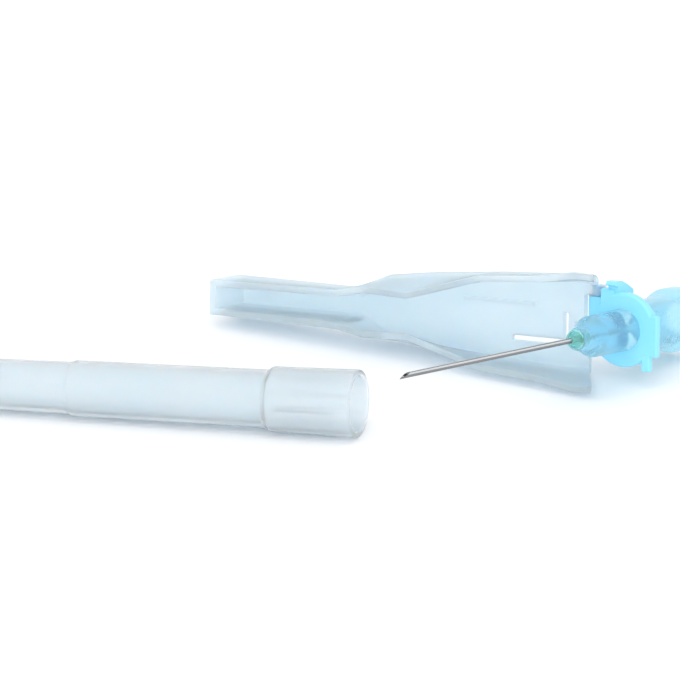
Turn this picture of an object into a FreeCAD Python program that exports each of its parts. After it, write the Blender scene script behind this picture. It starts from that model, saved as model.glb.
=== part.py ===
import FreeCAD, Part
import math
import os

# A safety hypodermic needle, lying on a table with its sheath opened and its cap taken off.
# Lengths are in millimetres and angles in degrees.
#
# The needle assembly is drawn about the needle's own axis, and then laid on the table.
# Its places are given in three directions, from the middle of the collar's front face:
#   out   towards the far end of the opened sheath
#   up    along the hinge's axis
#   fore  along the needle, towards its point

# Cannula: a 23 gauge tube of 1 1/2 inches, ground to a lancet point
cannula_radius = 0.32
cannula_bore_radius = 0.17
cannula_free_length = 38.0
cannula_held_length = 7.9
bevel_angle = 17.0
lancet_angle = 20.0
lancet_turn = 40.0

# Hub: the moulding that holds the cannula and fits on the syringe
nose_fore = 10.2
nose_radius = 1.33
nose_flare_fore = 8.2
nose_flare_radius = 1.62
boss_fore = 6.9
boss_radius = 2.5
barrel_front_radius = 3.08
barrel_back_radius = 3.2
lug_fore = -10.2
lug_radius = 3.9
lug_flat = 3.35
hub_back_fore = -12.8
luer_mouth_radius = 2.15
luer_slope = 0.03
luer_depth = 9.0
hub_feed_length = 3.2
hub_edge = 0.3
cannula_clearance = 0.01

# Adhesive: the drop that fixes the cannula in the well of the nose
well_radius = 0.8
well_depth = 1.6
bead_radius = 1.2
bead_shoulder_radius = 1.12
bead_shoulder_height = 0.65
bead_height = 1.3
bead_top_radius = 0.58

# Collar: the ring pressed on the hub, with the hinge, the latch and the stops
collar_radius = 4.5
collar_depth = 2.4
collar_edge = 0.35
collar_flat_out = 3.2
collar_back_radius = 3.7
collar_rim_depth = 1.0
collar_clearance = 0.02
corner_in_out = 1.2
corner_low_up = 2.5
corner_top_up = 4.8
stop_out = -4.85
stop_in_out = -3.2
stop_low_up = -3.0
stop_high_up = 2.0
stop_thickness = 0.9
lug_in_out = -2.7
lug_far_out = -3.85
lug_low_up = -4.8
lug_top_up = -2.8
tab_edge = 0.2
latch_near_out = 0.7
latch_far_out = 2.1
latch_top_up = 5.75

# The latch from the side, from its low front to its lip: fore, up, rounding
latch_side_view = [(-3.7, 3.2, 0), (-3.7, 4.5, 0.3), (-2.4, 5.2, 1.2), (-1.1, latch_top_up, 0.8),
                   (0.2, latch_top_up, 0.25), (0.5, 5.3, 0.15), (-0.2, 5.15, 0.15), (-0.4, 3.4, 0)]

# Hinge: trunnions of the collar turning in two knuckles of the sheath
hinge_out = 4.4
hinge_fore = -1.5
hinge_radius = 1.05
trunnion_radius = 0.55
hinge_running_clearance = 0.05
hinge_end_gap = 0.1
barrel_low_up = -2.2
barrel_high_up = 3.6
knuckle_width = 1.2
web_near_out = 2.7
web_front_fore = -0.5

# Sheath: one thin channel, wide at the hinge and narrow over the needle's point
sheath_wall = 0.85
sheath_back_fore = -1.6
sheath_depth = 7.0
sheath_end_out = 56.2
sheath_base_rim_out = 1.2
sheath_base_back_out = 5.2
sheath_hinge_side_back_out = 4.3
sheath_notch_out = 5.8
sheath_corner_radius = 0.9
sheath_inner_radius = 0.36
rim_round = 0.22

# The clearance cut through the sheath's upper wall for the latch, about the hinge
relief_near_radius = 2.1
relief_far_radius = 4.6
relief_start_angle = 48.0
relief_sweep = 150.0

# Half widths of the channel at its stations: out, at its back, at its rims
base_station = (0.0, 5.9, 7.2)
flare_station = (3.6, 6.0, 7.3)
waist_station = (8.5, 6.05, 6.45)
body_station = (17.0, 5.6, 5.85)
crown_station = (27.4, 5.05, 2.85)
shoulder_station = (33.7, 4.05, 3.15)
neck_station = (37.6, 2.0, 2.45)
end_station = (sheath_end_out, 2.15, 2.15)
stations = [base_station, flare_station, waist_station, body_station,
            crown_station, shoulder_station, neck_station, end_station]

# Openings and rib in the sheath's back wall
window_out = 6.6
window_width = 0.65
window_low_up = -2.3
window_high_up = 0.3
slot_upright_out = 8.0
slot_upright_width = 0.8
slot_top_up = 1.3
slot_up = -2.3
slot_height = 0.7
slot_end_out = 16.2
rib_start_out = 12.5
rib_end_out = 22.8
rib_up = 1.9
rib_size = 0.35

# Cap: a stepped tube, closed at its far end
cap_length = 54.5
cap_wall = 0.75
cap_mouth_radius = 4.05
cap_mouth_length = 10.7
cap_mouth_draft = 0.15
cap_step_length = 0.6
cap_middle_length = 24.4
cap_middle_radius = 3.47
cap_middle_draft = 0.07
cap_tail_radius = 3.17
cap_tail_draft = 0.2
cap_end_round = 1.2
cap_grip_width = 0.5
cap_grip_start = 2.4
cap_grip_end = 9.4
cap_grip_clearance = 0.04

# How the pieces lie on the table
cap_mouth_place = (-25.7, -22.9)
assembly_turn = -15.5

# Directions of the needle assembly's own axes
OUT = FreeCAD.Vector(-1, 0, 0)
UP = FreeCAD.Vector(0, 0, 1)
FORE = FreeCAD.Vector(0, -1, 0)


def spot(out, up, fore):
    """The point at these distances from the middle of the collar's front face."""
    return OUT * out + UP * up + FORE * fore


def rounded_wire(corners):
    """A closed flat wire through corners, each given as a point and the radius of its rounding."""
    count = len(corners)
    edges = []
    runs = []
    for index, (point, radius) in enumerate(corners):
        back = (corners[index - 1][0] - point).normalize()
        ahead = (corners[(index + 1) % count][0] - point).normalize()
        if radius == 0:
            runs.append((point, point, point))
            continue
        half_angle = back.getAngle(ahead) / 2
        setback = radius / math.tan(half_angle)
        to_arc = radius / math.sin(half_angle) - radius
        middle = point + (back + ahead).normalize() * to_arc
        runs.append((point + back * setback, middle, point + ahead * setback))
    for index, (start, middle, end) in enumerate(runs):
        if start != end:
            edges.append(Part.Arc(start, middle, end).toShape())
        following = runs[(index + 1) % count][0]
        edges.append(Part.makeLine(end, following))
    return Part.Wire(edges)


def turned(profile, place, along, side):
    """A solid turned about an axis, from corners of radius, distance along it and rounding."""
    corners = [(place + side * radius + along * step, rounding)
               for radius, step, rounding in profile]
    return Part.Face(rounded_wire(corners)).revolve(place, along, 360)


def turned_on_needle(profile):
    """A solid turned about the needle's axis."""
    return turned(profile, spot(0, 0, 0), FORE, OUT)


def rod(radius, start, end, about=(0, 0)):
    """A round rod along the hinge's direction, between two heights, about an out and fore."""
    out, fore = about
    return Part.makeCylinder(radius, end - start, spot(out, start, fore), UP)


def block(outs, ups, fores, edge=0.0):
    """A box between two distances in each direction, with its edges rounded."""
    low = spot(max(outs), min(ups), max(fores))
    box = Part.makeBox(max(outs) - min(outs), max(fores) - min(fores), max(ups) - min(ups), low)
    if edge == 0:
        return box
    return box.makeFillet(edge, box.Edges)


def plate_up(corners, start, end):
    """A plate between two heights, from corners of out, fore and rounding."""
    wire = rounded_wire([(spot(out, start, fore), rounding) for out, fore, rounding in corners])
    return Part.Face(wire).extrude(UP * (end - start))


def fused(shapes):
    """The shapes made one, with no seams left between faces in line."""
    return shapes[0].multiFuse(shapes[1:]).removeSplitter()


def cannula():
    """The steel tube, its point ground by one bevel and two turned lancet cuts."""
    back = nose_fore - cannula_held_length
    point = nose_fore + cannula_free_length
    tube = turned_on_needle([(cannula_bore_radius, back, 0), (cannula_bore_radius, point, 0),
                             (cannula_radius, point, 0), (cannula_radius, back, 0)])
    tube = tube.cut(grinding(bevel_angle, 0, point))
    for turn in (-lancet_turn, lancet_turn):
        tube = tube.cut(grinding(lancet_angle, turn, point))
    return tube


def grinding(angle, turn, point):
    """What a grinding wheel takes off the needle's point at this angle, turned about the needle."""
    size = 6.0
    wheel = Part.makeBox(size, size + 1, size, FreeCAD.Vector(-size / 2, -1, 0))
    wheel.rotate(FreeCAD.Vector(0, 0, 0), FreeCAD.Vector(1, 0, 0), angle)
    height_at_point = -cannula_radius * math.cos(math.radians(turn))
    wheel.translate(spot(0, height_at_point, point))
    wheel.rotate(spot(0, 0, 0), FORE, turn)
    return wheel


def adhesive_bead():
    """The drop in the nose's well and over its face, with the cannula passing through."""
    hole = cannula_radius + cannula_clearance
    floor = nose_fore - well_depth
    rim = nose_fore + bead_height
    return turned_on_needle([(hole, floor, 0), (well_radius, floor, 0), (well_radius, nose_fore, 0),
                             (bead_radius, nose_fore, 0),
                             (bead_shoulder_radius, nose_fore + bead_shoulder_height, 0.5),
                             (bead_top_radius, rim - 0.1, 0.3), (hole, rim, 0)])


def hub():
    """The nose, boss, barrel and luer socket, in one moulding with two luer lugs."""
    bore = cannula_radius + cannula_clearance
    well_floor = nose_fore - well_depth
    socket_end = hub_back_fore + luer_depth
    socket_end_radius = luer_mouth_radius - luer_slope * luer_depth
    moulding = turned_on_needle([
        (luer_mouth_radius, hub_back_fore, 0),
        (socket_end_radius, socket_end, 0),
        (bore, socket_end + hub_feed_length, 0),
        (bore, well_floor, 0),
        (well_radius, well_floor, 0),
        (well_radius, nose_fore, 0),
        (nose_radius, nose_fore, 0.12),
        (nose_flare_radius, nose_flare_fore, 1.2),
        (boss_radius, boss_fore, hub_edge),
        (boss_radius, -collar_depth, 0),
        (barrel_front_radius, -collar_depth, hub_edge),
        (barrel_back_radius, lug_fore + 1.0, 0.8),
        (lug_radius, lug_fore - 0.2, hub_edge),
        (lug_radius, hub_back_fore, hub_edge)])
    for side in (-1, 1):
        flat = block((side * lug_flat, side * (lug_radius + 1)), (-lug_radius, lug_radius),
                     (lug_fore + 1, hub_back_fore - 1))
        moulding = moulding.cut(flat)
    return moulding


def latch():
    """The ramp on the collar's top, which ends in a lip over the corner plate."""
    corners = [(spot(latch_near_out, up, fore), rounding) for fore, up, rounding in latch_side_view]
    return Part.Face(rounded_wire(corners)).extrude(OUT * (latch_far_out - latch_near_out))


def collar():
    """The ring with its hinge barrel, latch, corner plate, stop and lug, in one moulding."""
    bore = boss_radius + collar_clearance
    tab_fores = (0, -stop_thickness)
    ring = turned_on_needle([(bore, 0, 0), (collar_radius, 0, collar_edge),
                             (collar_radius, -collar_rim_depth, collar_edge),
                             (collar_back_radius, -collar_depth, collar_edge), (bore, -collar_depth, 0)])
    beyond = collar_radius + 1
    ring = ring.cut(block((collar_flat_out, beyond), (-beyond, beyond), (1, -collar_depth - 1)))
    corner = block((corner_in_out, collar_flat_out), (corner_low_up, corner_top_up),
                   (0, -collar_depth), collar_edge)
    stop = block((stop_out, stop_in_out), (stop_low_up, stop_high_up), tab_fores, tab_edge)
    lug = block((lug_far_out, lug_in_out), (lug_low_up, lug_top_up), tab_fores, tab_edge)
    web = block((web_near_out, hinge_out), (barrel_low_up, barrel_high_up),
                (web_front_fore, -collar_depth))
    about = (hinge_out, hinge_fore)
    barrel = rod(hinge_radius, barrel_low_up, barrel_high_up, about)
    reach = hinge_end_gap + knuckle_width
    trunnions = rod(trunnion_radius, barrel_low_up - reach, barrel_high_up + reach, about)
    whole = fused([ring, corner, stop, lug, web, barrel, trunnions, latch()])
    through = turned_on_needle([(0, 1, 0), (bore, 1, 0), (bore, -collar_depth, 0), (0, -collar_depth, 0)])
    return whole.cut(through)


def channel_section(out, back_half, rim_half):
    """The sheath's U at one station: outer wall, rims and inner wall, as one closed wire."""
    rim_fore = sheath_back_fore + sheath_depth
    inner_fore = sheath_back_fore + sheath_wall
    outer = [(rim_half, rim_fore, rim_round), (back_half, sheath_back_fore, sheath_corner_radius),
             (-back_half, sheath_back_fore, sheath_corner_radius), (-rim_half, rim_fore, rim_round)]
    inner_back = back_half - sheath_wall
    inner_rim = rim_half - sheath_wall
    inner_round = sheath_inner_radius
    inner = [(-inner_rim, rim_fore, rim_round), (-inner_back, inner_fore, inner_round),
             (inner_back, inner_fore, inner_round), (inner_rim, rim_fore, rim_round)]
    return rounded_wire([(spot(out, up, fore), rounding) for up, fore, rounding in outer + inner])


def end_wall_section(out, back_half, rim_half):
    """The outline of the sheath's closed end, up to the middle of the walls around it."""
    rim_fore = sheath_back_fore + sheath_depth
    set_in = sheath_wall / 2
    back_fore = sheath_back_fore + set_in
    corners = [(rim_half - set_in, rim_fore, 0), (back_half - set_in, back_fore, sheath_inner_radius),
               (set_in - back_half, back_fore, sheath_inner_radius), (set_in - rim_half, rim_fore, 0)]
    return rounded_wire([(spot(out, up, fore), rounding) for up, fore, rounding in corners])


def between(first, second, out):
    """The half widths of the channel at a place between two stations."""
    share = (out - first[0]) / (second[0] - first[0])
    return [near + share * (far - near) for near, far in zip(first[1:], second[1:])]


def knuckle(low_up):
    """One eye of the sheath round a trunnion, with the arm that joins it to the back wall."""
    eye = rod(hinge_radius, low_up, low_up + knuckle_width, (hinge_out, hinge_fore))
    arm = block((hinge_out, window_out + 0.5), (low_up, low_up + knuckle_width),
                (sheath_back_fore, sheath_back_fore + sheath_wall))
    return eye.fuse(arm)


def slot_cut():
    """The bent slot in the back wall: an upright leg and a longer level leg with a round end."""
    fores = (sheath_back_fore - 1, sheath_back_fore + sheath_wall + 0.2)
    low = slot_up - slot_height / 2
    high = slot_up + slot_height / 2
    upright = block((slot_upright_out, slot_upright_out + slot_upright_width), (low, slot_top_up), fores)
    round_out = slot_end_out - slot_height / 2
    level = block((slot_upright_out, round_out), (low, high), fores)
    end = Part.makeCylinder(slot_height / 2, 3, spot(round_out, slot_up, sheath_back_fore - 1), FORE)
    return fused([upright, level, end])


def latch_relief():
    """The path that the latch takes through the upper wall as the sheath closes."""
    top = latch_top_up + hinge_end_gap
    pivot = spot(hinge_out, 0, hinge_fore)
    outer = Part.makeCylinder(relief_far_radius, top, pivot, UP, relief_sweep)
    path = outer.cut(rod(relief_near_radius, 0, top, (hinge_out, hinge_fore)))
    path.rotate(pivot, UP, 180 + relief_start_angle)
    return path


def sheath():
    """The hinged channel that closes over the needle."""
    shell = Part.makeLoft([channel_section(*station) for station in stations], True, True)
    inner_end = sheath_end_out - sheath_wall
    wall_start = between(neck_station, end_station, inner_end)
    end_sections = [end_wall_section(inner_end, *wall_start), end_wall_section(*end_station)]
    shell = shell.fuse(Part.makeLoft(end_sections, True, True))
    rim_fore = sheath_back_fore + sheath_depth
    behind = sheath_back_fore - 1
    inside = sheath_back_fore + sheath_wall
    widest = flare_station[2] + 1
    halves = []
    for base_out, low, high in ((sheath_base_back_out, -widest, 0), (sheath_hinge_side_back_out, 0, widest)):
        side_view = [(sheath_base_rim_out, rim_fore + 1, 0), (sheath_base_rim_out, rim_fore - 0.6, 1.0),
                     (base_out, sheath_back_fore + 0.6, 0.6), (base_out, behind, 0),
                     (sheath_end_out + 1, behind, 0), (sheath_end_out + 1, rim_fore + 1, 0)]
        halves.append(plate_up(side_view, low, high))
    shell = shell.common(fused(halves))
    gap = hinge_end_gap
    through = (behind, inside + 0.2)
    notch = block((0, sheath_notch_out), (barrel_low_up - gap, barrel_high_up + gap),
                  (hinge_fore - hinge_radius - 1, hinge_fore + hinge_radius + 0.65))
    window = block((window_out, window_out + window_width), (window_low_up, window_high_up), through)
    rib = block((rib_start_out, rib_end_out), (rib_up, rib_up + rib_size), (inside - 0.2, inside + rib_size))
    knuckles = [knuckle(barrel_high_up + gap), knuckle(barrel_low_up - gap - knuckle_width)]
    shell = fused([shell.cut(notch), rib] + knuckles)
    eye_low = barrel_low_up - gap - knuckle_width - 1
    eye_high = barrel_high_up + gap + knuckle_width + gap
    pin_hole = rod(trunnion_radius + hinge_running_clearance, eye_low, eye_high, (hinge_out, hinge_fore))
    return shell.cut(window).cut(slot_cut()).cut(pin_hole).cut(latch_relief())


def cap_profile():
    """The cap's outline, from its mouth to its closed end, as steps and radii."""
    mouth_end = cap_mouth_length
    middle_start = mouth_end + cap_step_length
    middle_end = middle_start + cap_middle_length
    tail_start = middle_end + cap_step_length
    outer = [(cap_mouth_radius, 0, 0.25),
             (cap_mouth_radius - cap_mouth_draft, mouth_end, 0.3),
             (cap_middle_radius, middle_start, 0.3),
             (cap_middle_radius - cap_middle_draft, middle_end, 0.25),
             (cap_tail_radius, tail_start, 0.25),
             (cap_tail_radius - cap_tail_draft, cap_length, cap_end_round)]
    bore = cap_mouth_radius - cap_wall
    inner = [(bore, 0, 0.25),
             (bore, mouth_end, 0),
             (cap_middle_radius - cap_wall, middle_start, 0),
             (cap_middle_radius - cap_middle_draft - cap_wall, middle_end, 0),
             (cap_tail_radius - cap_wall, tail_start, 0),
             (cap_tail_radius - cap_tail_draft - cap_wall, cap_length - cap_wall, cap_end_round - cap_wall)]
    closing = [(0, cap_length, 0), (0, cap_length - cap_wall, 0)]
    return outer, inner, closing


def cap():
    """The needle's cap, lying on its mouth's rim and on the shoulder of its middle."""
    outer, inner, closing = cap_profile()
    centre = FreeCAD.Vector(0, 0, 0)
    along = FreeCAD.Vector(-1, 0, 0)
    tube = turned(outer + closing + inner[::-1], centre, along, UP)
    bore = cap_mouth_radius - cap_wall
    grip_radius = boss_radius + cap_grip_clearance
    for turn in (0, 90, 180, 270):
        grip = Part.makeBox(cap_grip_end - cap_grip_start, cap_grip_width, bore - grip_radius + 0.2,
                            FreeCAD.Vector(-cap_grip_end, -cap_grip_width / 2, grip_radius))
        grip.rotate(centre, FreeCAD.Vector(1, 0, 0), turn)
        tube = tube.fuse(grip)
    shoulder_radius, shoulder_step, _ = outer[3]
    lean = math.degrees(math.atan2(cap_mouth_radius - shoulder_radius, shoulder_step))
    tube.rotate(centre, FreeCAD.Vector(0, 1, 0), -lean)
    tube.translate(FreeCAD.Vector(*cap_mouth_place, 0))
    return tube


def resting_turn():
    """The turn that brings the assembly's three lowest points level, then swings it on the table."""
    rim_fore = sheath_back_fore + sheath_depth
    end_corner = spot(sheath_end_out, -end_station[1], sheath_back_fore + sheath_corner_radius)
    wing_corner = spot(flare_station[0], -flare_station[2], rim_fore - rim_round)
    lug_corner = spot(0, -lug_radius, hub_back_fore + 0.3)
    level = (lug_corner - wing_corner).cross(end_corner - wing_corner)
    if level.z < 0:
        level = level * -1
    return FreeCAD.Rotation(UP, assembly_turn) * FreeCAD.Rotation(level, UP)


def lowest(shape):
    """The height of a shape's lowest point."""
    return shape.optimalBoundingBox(False, False).ZMin


def laid_on_table(assembly, loose_cap):
    """The nodes where they lie, and the place that the assembly's own axes took.

    The origin is on the table, under the middle of the box round everything."""
    place = FreeCAD.Placement(FreeCAD.Vector(0, 0, 0), resting_turn())
    lying = Part.makeCompound(list(assembly.values()))
    lying.Placement = place
    place.Base = UP * -lowest(lying)
    for shape in assembly.values():
        shape.Placement = place
    loose_cap.translate(UP * -lowest(loose_cap))
    nodes = dict(assembly, cap=loose_cap)
    box = Part.makeCompound(list(nodes.values())).optimalBoundingBox(False, False)
    middle = FreeCAD.Vector(box.Center.x, box.Center.y, 0)
    for shape in nodes.values():
        shape.translate(middle * -1)
    place.Base = place.Base - middle
    return nodes, place


def main():
    os.makedirs("parts", exist_ok=True)
    assembly = {"cannula": cannula(), "adhesive_bead": adhesive_bead(), "hub": hub(),
                "collar": collar(), "sheath": sheath()}
    nodes, _ = laid_on_table(assembly, cap())
    for name, shape in nodes.items():
        shape.exportStep(f"parts/{name}.step")
        print(name, len(shape.Solids), shape.isValid(), round(shape.Volume, 2))


main()
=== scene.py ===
# %% [markdown]
# # A safety hypodermic needle in Blender
#
# This lesson dresses a needle whose solids already exist. They come in as a fixed frame: a steel
# tube, its drop of glue, a hub, a collar, a hinged sheath and a cap. The lesson adds the camera,
# the light and the finish of every piece, and remakes the drop of glue, which the eye rests on.
# All lengths are in metres, and the table is the plane where z is 0.
#
# The frame is loaded first.

# %% Load the frame
import bpy
import math
from mathutils import Matrix, Vector


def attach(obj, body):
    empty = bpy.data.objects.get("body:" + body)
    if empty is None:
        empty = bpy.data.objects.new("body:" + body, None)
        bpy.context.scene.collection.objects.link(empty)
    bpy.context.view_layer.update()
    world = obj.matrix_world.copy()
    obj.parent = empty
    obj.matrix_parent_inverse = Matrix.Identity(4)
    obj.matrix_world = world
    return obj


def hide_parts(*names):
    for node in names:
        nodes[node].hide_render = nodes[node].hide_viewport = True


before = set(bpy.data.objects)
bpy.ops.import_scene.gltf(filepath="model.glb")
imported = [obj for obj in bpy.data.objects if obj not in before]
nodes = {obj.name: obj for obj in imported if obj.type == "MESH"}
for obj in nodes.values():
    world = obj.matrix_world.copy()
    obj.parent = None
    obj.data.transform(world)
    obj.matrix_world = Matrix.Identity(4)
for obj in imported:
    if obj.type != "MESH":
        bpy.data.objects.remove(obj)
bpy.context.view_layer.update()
scene = bpy.context.scene
print("nodes:", ", ".join(sorted(nodes)))

# %% [markdown]
# ## The needle's own directions
#
# The assembly lies askew on the table, so its pieces are easier to place in directions of its
# own. Out runs along the opened sheath, up along the hinge and fore along the needle, all from
# the middle of the collar's front face. One small function turns such a place into the table's
# coordinates.

# %% The needle's own directions
MM = 0.001
COLLAR_FACE = Vector((36.7667, 14.5421, 6.9002)) * MM
OUT = Vector((-0.963034, 0.259311, -0.072957))
UP = Vector((-0.016148, 0.214776, 0.97653))
FORE = Vector((-0.268894, -0.94161, 0.20265))
POINT_FORE = 48.2


def spot(out, up, fore):
    """The place at these distances, in millimetres, from the collar's front face."""
    return COLLAR_FACE + (OUT * out + UP * up + FORE * fore) * MM


print("needle's point:", [round(value / MM, 1) for value in spot(0, 0, POINT_FORE)])

# %% [markdown]
# ## The camera
#
# The photograph was taken with a long lens from a low angle, so the lines of the cap and the
# sheath hardly converge. The camera's directions are written down, made square to each other with
# a cross product, and put in a matrix as its columns. That matrix turns the camera. A long focal
# length from 0.9 m gives the same flat look.

# %% Camera
VIEW_RIGHT = Vector((0.94913, 0.31152, -0.0458)).normalized()
VIEW_BACK = Vector((0.30786, -0.88757, 0.34269)).normalized()
VIEW_UP = VIEW_BACK.cross(VIEW_RIGHT).normalized()
VIEW_RIGHT = VIEW_UP.cross(VIEW_BACK)
VIEW_MIDDLE = Vector((4.816, 3.883, 7.234)) * MM
VIEW_DISTANCE = 0.9
VIEW_WIDTH = 0.08124
FILM_WIDTH = 36.0

camera_data = bpy.data.cameras.new("photo_camera")
camera_data.sensor_width = FILM_WIDTH
camera_data.lens = FILM_WIDTH * VIEW_DISTANCE / VIEW_WIDTH
camera_data.clip_start = 0.05
camera_data.clip_end = 50.0
camera = bpy.data.objects.new("photo_camera", camera_data)
scene.collection.objects.link(camera)
turn = Matrix((VIEW_RIGHT, VIEW_UP, VIEW_BACK)).transposed().to_4x4()
camera.matrix_world = Matrix.Translation(VIEW_MIDDLE + VIEW_BACK * VIEW_DISTANCE) @ turn
scene.camera = camera
print("lens, mm:", round(camera_data.lens))

# %% [markdown]
# ## The table and the tent
#
# Clear and frosted plastics are shown by what is round them. In the photograph that is white on
# every side, as in a light tent. A wide white table and a white world make the tent. The table
# has no gloss of its own, so it keeps only the soft shadows.

# %% Table and tent
TABLE_WIDTH = 6.0
TABLE_WHITE = (0.97, 0.97, 0.975, 1)

scene.view_settings.view_transform = "Standard"
bpy.ops.object.select_all(action="DESELECT")
bpy.ops.mesh.primitive_plane_add(size=TABLE_WIDTH, location=(0, 0, 0))
table = bpy.context.object
table.name = "table"
table_paint = bpy.data.materials.new("white_table")
table_paint.use_nodes = True
table_shader = table_paint.node_tree.nodes["Principled BSDF"]
table_shader.inputs["Base Color"].default_value = TABLE_WHITE
table_shader.inputs["Roughness"].default_value = 0.9
table_shader.inputs["Specular IOR Level"].default_value = 0.0
table.data.materials.append(table_paint)

world = bpy.data.worlds.new("light_tent")
world.use_nodes = True
tent_light = world.node_tree.nodes["Background"]
tent_light.inputs["Color"].default_value = (1, 1, 1, 1)
tent_light.inputs["Strength"].default_value = 1.0
scene.world = world
print("table, m:", TABLE_WIDTH)

# %% [markdown]
# ## The lamps
#
# The tent alone leaves the sides that face the camera a little dull, because the pieces shade one
# another there. A wide lamp near the camera lifts them, and its size keeps the shadows soft. A
# narrow strip above the needle adds a faint light line along the round pieces.

# %% Lamps
TABLE_MIDDLE = Vector((0, 0, 0))


def soft_lamp(name, place, width, height, power):
    """A rectangular area lamp at a place, turned to the middle of the table."""
    data = bpy.data.lights.new(name, "AREA")
    data.shape = "RECTANGLE"
    data.size = width
    data.size_y = height
    data.energy = power
    lamp = bpy.data.objects.new(name, data)
    scene.collection.objects.link(lamp)
    lamp.location = Vector(place)
    lamp.rotation_mode = "QUATERNION"
    lamp.rotation_quaternion = (TABLE_MIDDLE - lamp.location).to_track_quat("-Z", "Y")
    print(name, "of", power, "W")


soft_lamp("lamp_strip", (0.08, -0.23, 0.66), 0.6, 0.07, 0.7)
soft_lamp("lamp_front", (0.30, -0.90, 0.45), 0.8, 0.8, 2.4)

# %% [markdown]
# ## The tones of a moulding
#
# Real mouldings are never quite even: the wall is a little thicker here and the pigment a little
# denser there. A soft noise with patches about 6 mm wide stands for that. A ramp turns the noise
# into a drift between two near tones, and a map range lets the roughness drift with it. The noise
# reads object coordinates, so it stays fixed to the piece when the sheath turns on its hinge.

# %% Helper for tones
PATCH_SIZE = 0.006
DEEP_END = 0.35
PALE_END = 0.65
ROUGHNESS_DRIFT = 0.05


def drifting_tones(tree, place, pale, deep, roughness):
    """Drives a shader's colour and roughness with one soft noise."""
    shader = tree.nodes["Principled BSDF"]
    drift = tree.nodes.new("ShaderNodeTexNoise")
    drift.inputs["Scale"].default_value = 1 / PATCH_SIZE
    drift.inputs["Detail"].default_value = 3.0
    tones = tree.nodes.new("ShaderNodeValToRGB")
    tones.color_ramp.elements[0].position = DEEP_END
    tones.color_ramp.elements[0].color = (*deep, 1)
    tones.color_ramp.elements[1].position = PALE_END
    tones.color_ramp.elements[1].color = (*pale, 1)
    frost = tree.nodes.new("ShaderNodeMapRange")
    frost.inputs["To Min"].default_value = roughness - ROUGHNESS_DRIFT
    frost.inputs["To Max"].default_value = roughness + ROUGHNESS_DRIFT
    tree.links.new(place.outputs["Object"], drift.inputs["Vector"])
    tree.links.new(drift.outputs["Fac"], tones.inputs["Fac"])
    tree.links.new(tones.outputs["Color"], shader.inputs["Base Color"])
    tree.links.new(drift.outputs["Fac"], frost.inputs["Value"])
    tree.links.new(frost.outputs["Result"], shader.inputs["Roughness"])


print("patch, mm:", PATCH_SIZE / MM)

# %% [markdown]
# ## The grain of a moulding
#
# The steel of a mould is eroded or blasted, and the plastic takes its fine grain. At this scale
# the grain is far too small to model, so a second, much finer noise only tilts the surface's
# normal, through a bump node. The glue cures in air, without a mould, and gets no grain.

# %% Helper for grain
GRAIN_SCALE = 2500.0
GRAIN_DEPTH = 0.0001


def fine_grain(tree, place, strength):
    """Tilts a shader's normal with a fine noise."""
    shader = tree.nodes["Principled BSDF"]
    grain = tree.nodes.new("ShaderNodeTexNoise")
    grain.inputs["Scale"].default_value = GRAIN_SCALE
    bump = tree.nodes.new("ShaderNodeBump")
    bump.inputs["Strength"].default_value = strength
    bump.inputs["Distance"].default_value = GRAIN_DEPTH
    tree.links.new(place.outputs["Object"], grain.inputs["Vector"])
    tree.links.new(grain.outputs["Fac"], bump.inputs["Height"])
    tree.links.new(bump.outputs["Normal"], shader.inputs["Normal"])


print("grain, mm:", round(1 / GRAIN_SCALE / MM, 2))

# %% [markdown]
# ## Frosted and clear plastics
#
# Every plastic here lets light through, some of it scattered. A Principled shader covers them
# all. Transmission is the share of light that goes through, roughness frosts it, and milk is the
# share of the rest that wanders under the surface and comes out nearby. The index is set lower
# than that of solid plastic: in thin walls the full value traps light by mirroring it inside, and
# the edges go grey, where the photograph shows them pale. Gloss is a thin clear coat.

# %% Helper for plastics
SCATTER_DEPTH = 0.002
SCATTER_SHARES = (0.6, 0.8, 1.0)
COAT_ROUGHNESS = 0.14
PLASTIC_GRAIN = 0.02


def moulded(name, pale, deep, roughness, transmission, milk=0.0, index=1.35, gloss=0.0,
            grain=PLASTIC_GRAIN):
    """A translucent plastic that drifts between a pale and a deep tone."""
    material = bpy.data.materials.new(name)
    material.use_nodes = True
    tree = material.node_tree
    shader = tree.nodes["Principled BSDF"]
    shader.inputs["IOR"].default_value = index
    shader.inputs["Transmission Weight"].default_value = transmission
    shader.inputs["Coat Weight"].default_value = gloss
    shader.inputs["Coat Roughness"].default_value = COAT_ROUGHNESS
    shader.inputs["Subsurface Weight"].default_value = milk
    shader.inputs["Subsurface Radius"].default_value = SCATTER_SHARES
    shader.inputs["Subsurface Scale"].default_value = SCATTER_DEPTH
    place = tree.nodes.new("ShaderNodeTexCoord")
    drifting_tones(tree, place, pale, deep, roughness)
    fine_grain(tree, place, grain)
    print("mixed", name)
    return material


# %% [markdown]
# ## The plastics of this needle
#
# The sheath is frosted and milky. The cap is clearer and has a soft shine. The hub is blue and
# lets the steel inside it show as a dark line, while the collar is pressed from a denser blue
# that lets nothing through. The cured glue is a clear green.

# %% Plastics
frosted = moulded("frosted_sheath", (0.765, 0.87, 0.94), (0.735, 0.85, 0.93), 0.55, 0.62,
                  milk=0.9, index=1.08)
cap_plastic = moulded("clear_cap", (0.86, 0.93, 0.98), (0.83, 0.915, 0.975), 0.40, 0.75,
                      milk=0.8, index=1.14, gloss=1.0)
hub_plastic = moulded("hub_blue", (0.52, 0.87, 1.0), (0.48, 0.85, 1.0), 0.28, 0.78,
                      index=1.18, gloss=0.3)
collar_plastic = moulded("collar_blue", (0.29, 0.77, 1.0), (0.26, 0.74, 1.0), 0.34, 0.0,
                         gloss=0.3)
glue = moulded("adhesive", (0.62, 0.98, 0.88), (0.52, 0.95, 0.80), 0.12, 0.9, grain=0.0)
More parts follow.
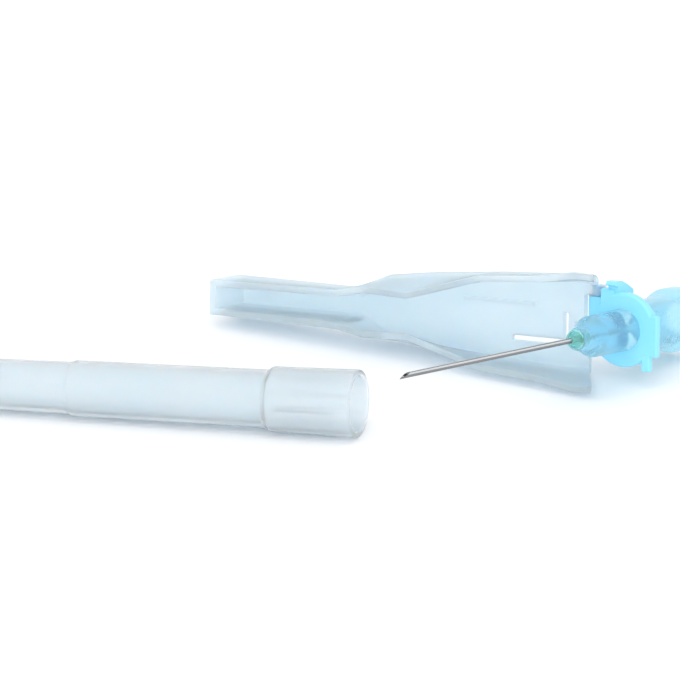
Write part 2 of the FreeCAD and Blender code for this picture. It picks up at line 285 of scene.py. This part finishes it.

# %% [markdown]
# ## Polished steel
#
# A thin bright tube shows a light line along its middle and goes dark towards its edges, because
# its sides mirror what stands low round it. That reflection is painted into the steel's colour:
# the normal of the surface, in object coordinates, is compared with one fixed direction across the
# tube, and a ramp turns the answer into a painted tone. The size of the answer is taken, so the
# far side of the tube gets the same painted highlight line.

# %% Steel
# Painted reflection: tones dark towards the tube's edges, with a painted highlight line along its
# middle.
PAINTED_REFLECTION_TONES = ((0.0, 0.05), (0.55, 0.18), (0.93, 0.29), (0.98, 0.72), (1.0, 0.75))
STEEL_TINT = (0.96, 0.99, 1.03)
PAINTED_HIGHLIGHT_SIDE = (UP * 0.5 - OUT * 0.87).normalized()

steel = bpy.data.materials.new("steel")
steel.use_nodes = True
steel_tree = steel.node_tree
steel_shader = steel_tree.nodes["Principled BSDF"]
steel_shader.inputs["Metallic"].default_value = 1.0
steel_shader.inputs["Roughness"].default_value = 0.22
steel_place = steel_tree.nodes.new("ShaderNodeTexCoord")
across = steel_tree.nodes.new("ShaderNodeVectorMath")
across.operation = "DOT_PRODUCT"
across.inputs[1].default_value = PAINTED_HIGHLIGHT_SIDE
size_only = steel_tree.nodes.new("ShaderNodeMath")
size_only.operation = "ABSOLUTE"
painted_reflection_ramp = steel_tree.nodes.new("ShaderNodeValToRGB")
painted_reflection_tones = painted_reflection_ramp.color_ramp.elements
for position, tone in PAINTED_REFLECTION_TONES[1:-1]:
    painted_reflection_tones.new(position)
for element, (position, tone) in zip(painted_reflection_tones, PAINTED_REFLECTION_TONES):
    element.color = (*(tone * share for share in STEEL_TINT), 1)
print("steel tones:", len(painted_reflection_tones))

# %% [markdown]
# ## The links of the steel
#
# The nodes only count once they are linked, from the place on the tube to the colour that the
# shader reads.

# %% Links of the steel
steel_link = steel_tree.links.new
steel_link(steel_place.outputs["Normal"], across.inputs[0])
steel_link(across.outputs["Value"], size_only.inputs[0])
steel_link(size_only.outputs["Value"], painted_reflection_ramp.inputs["Fac"])
# The painted reflection and highlight become the steel's base colour.
steel_link(painted_reflection_ramp.outputs["Color"], steel_shader.inputs["Base Color"])
print("steel links:", len(steel_tree.links))

# %% [markdown]
# ## The finishes go on the solids
#
# A solid of the frame keeps its mesh as it is. It only gets its material and smooth shading,
# which a sharp angle interrupts, so that round walls look round and mould edges stay crisp.

# %% Finishes of the solids
CRISP_ANGLE = math.radians(30)


def finish_node(name, material):
    """Gives a solid of the frame its finish, smooth over its curves and crisp at its edges."""
    piece = nodes[name]
    piece.data.materials.clear()
    piece.data.materials.append(material)
    bpy.ops.object.select_all(action="DESELECT")
    piece.select_set(True)
    bpy.context.view_layer.objects.active = piece
    bpy.ops.object.shade_smooth_by_angle(angle=CRISP_ANGLE)
    print("finished", name, "with", material.name)


finish_node("sheath", frosted)
finish_node("cap", cap_plastic)
finish_node("hub", hub_plastic)
finish_node("collar", collar_plastic)
finish_node("adhesive_bead", glue)
finish_node("cannula", steel)

# %% [markdown]
# ## Turning a round piece
#
# A solid of revolution made by hand shows how a lathe works: a circle is drawn, and each next
# ring is an extrusion that is moved along the axis and scaled. The first and the last ring are
# the same, so merging doubles closes the skin. Then the normals are made to point outwards, and
# the mesh, not the object, is stood in its place.

# %% Helper for turned pieces
RING_POINTS = 64
MERGE_DISTANCE = 1e-7
SOFT_ANGLE = math.radians(50)


def turned_piece(name, rings, place, along):
    """A round piece from rings of (radius, height) in millimetres, standing on a place."""
    bpy.ops.object.select_all(action="DESELECT")
    radius, height = rings[0]
    bpy.ops.mesh.primitive_circle_add(vertices=RING_POINTS, radius=radius * MM,
                                      location=(0, 0, height * MM))
    piece = bpy.context.object
    piece.name = name
    bpy.ops.object.transform_apply(location=True)
    bpy.ops.object.mode_set(mode="EDIT")
    bpy.ops.mesh.select_all(action="SELECT")
    for next_radius, next_height in rings[1:]:
        rise = (next_height - height) * MM
        bpy.ops.mesh.extrude_region_move(TRANSFORM_OT_translate={"value": (0, 0, rise)})
        widen = next_radius / radius
        bpy.ops.transform.resize(value=(widen, widen, 1), center_override=(0, 0, next_height * MM))
        radius, height = next_radius, next_height
    bpy.ops.mesh.select_all(action="SELECT")
    bpy.ops.mesh.remove_doubles(threshold=MERGE_DISTANCE)
    bpy.ops.mesh.normals_make_consistent(inside=False)
    bpy.ops.object.mode_set(mode="OBJECT")
    stand = along.to_track_quat("Z", "Y").to_matrix().to_4x4()
    piece.data.transform(Matrix.Translation(place) @ stand)
    bpy.ops.object.shade_smooth_by_angle(angle=SOFT_ANGLE)
    print("turned", name, "from", len(rings), "rings")
    return piece


# %% [markdown]
# ## The drop of glue
#
# On the real needle the glue is poured into the well round the tube and cures there. It stands
# over the hub's face as a low dome, spreads a little over the rim, and climbs the steel in a thin
# curved skirt, because liquids wet what they touch. The solid in the frame has the dome but not
# the skirt, so the drop is turned anew and takes the solid's place.

# %% The drop of glue
WELL_RADIUS = 0.79
WELL_FLOOR = 8.62
NOSE_FACE = 10.2
TUBE_RADIUS = 0.325
DOME = ((1.08, 0.01), (1.16, 0.10), (1.18, 0.24), (1.15, 0.42), (1.06, 0.62), (0.92, 0.80),
        (0.75, 0.93), (0.60, 1.02), (0.48, 1.10), (0.40, 1.19), (0.35, 1.30), (TUBE_RADIUS, 1.42))

drop_rings = [(TUBE_RADIUS, WELL_FLOOR), (WELL_RADIUS, WELL_FLOOR), (WELL_RADIUS, NOSE_FACE)]
drop_rings += [(radius, NOSE_FACE + rise) for radius, rise in DOME]
drop_rings.append((TUBE_RADIUS, WELL_FLOOR))
drop = turned_piece("glue_drop", drop_rings, spot(0, 0, 0), FORE)
drop.data.materials.append(glue)
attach(drop, "needle")
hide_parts("adhesive_bead")
print("drop:", len(drop.data.polygons), "faces")
